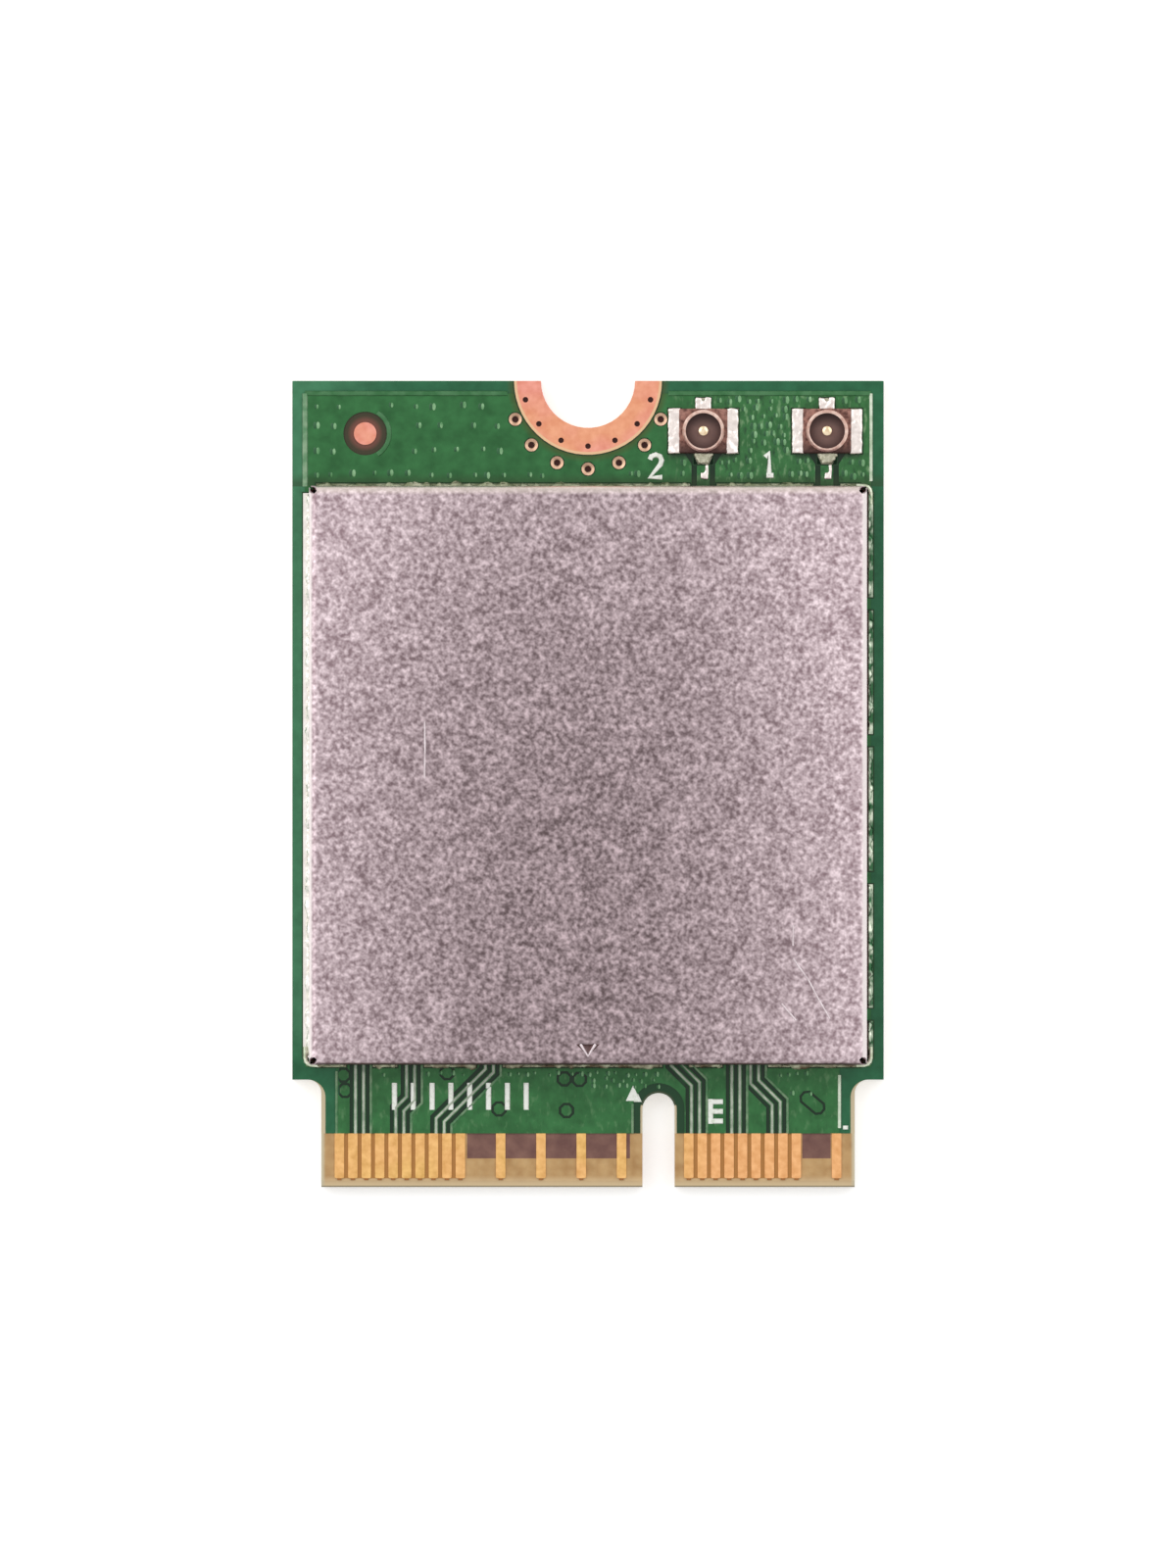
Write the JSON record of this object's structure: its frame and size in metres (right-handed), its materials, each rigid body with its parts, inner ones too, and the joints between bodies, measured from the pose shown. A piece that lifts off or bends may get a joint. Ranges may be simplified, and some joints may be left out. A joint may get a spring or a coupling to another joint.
{
  "type": "wireless network card",
  "caption": "Flat plug-in radio card with an edge-contact tongue, key slot, screw notch, soldered metal shield and coaxial antenna ports.",
  "frame": {"origin": "middle of the card's underside, on the surface it lies on", "axes": "+Y towards the screw notch, +X towards the first contact and the first antenna port, +Z out of the component side"},
  "size_m": [0.022, 0.03, 0.0022],
  "materials": {
    "laminate": "glass-epoxy laminate, cut edges and bare tongue",
    "mask": "green solder lacquer, glossy",
    "gold": "hard gold plating on copper",
    "copper": "bare copper with a thin protective coat",
    "tinned_sheet": "matt tinned sheet with a fine grain",
    "solder": "solder, bright satin",
    "port_metal": "gold-flashed drawn ring",
    "port_moulding": "dark brown moulded resin",
    "chip_moulding": "black chip moulding",
    "ceramic_brown": "fired ceramic, tan brown",
    "ceramic_white": "fired ceramic, white",
    "ferrite": "pressed ferrite, dark grey",
    "terminal_tin": "tinned terminals"
  },
  "bodies": {
    "root": {"circuit_board": "laminate", "solder_mask": "mask", "top_contacts": "gold", "bottom_contacts": "gold", "ground_ring": "copper", "stitching_vias": "copper", "fiducial_mark": "copper", "shield_land": "solder", "shield_solder": "solder", "shield_can": "tinned_sheet", "wireless_chip": "chip_moulding", "wireless_chip_terminals": "terminal_tin", "front_end_module_1": "chip_moulding", "front_end_module_2": "chip_moulding", "front_end_terminals": "terminal_tin", "diplexer_1": "ceramic_white", "diplexer_2": "ceramic_white", "diplexer_terminals": "terminal_tin", "power_inductor_1": "ferrite", "power_inductor_2": "ferrite", "inductor_terminals": "terminal_tin", "flash_chip": "chip_moulding", "flash_terminals": "terminal_tin", "regulator_chip": "chip_moulding", "regulator_terminals": "terminal_tin", "crystal_base": "ceramic_white", "crystal_lid": "terminal_tin", "capacitor_bodies": "ceramic_brown", "capacitor_terminals": "terminal_tin", "resistor_bodies": "chip_moulding", "resistor_terminals": "terminal_tin", "port_1_shell": "port_metal", "port_1_pin": "port_metal", "port_1_insulator": "port_moulding", "port_1_solder": "solder", "port_2_shell": "port_metal", "port_2_pin": "port_metal", "port_2_insulator": "port_moulding", "port_2_solder": "solder"}
  },
  "joints": []
}
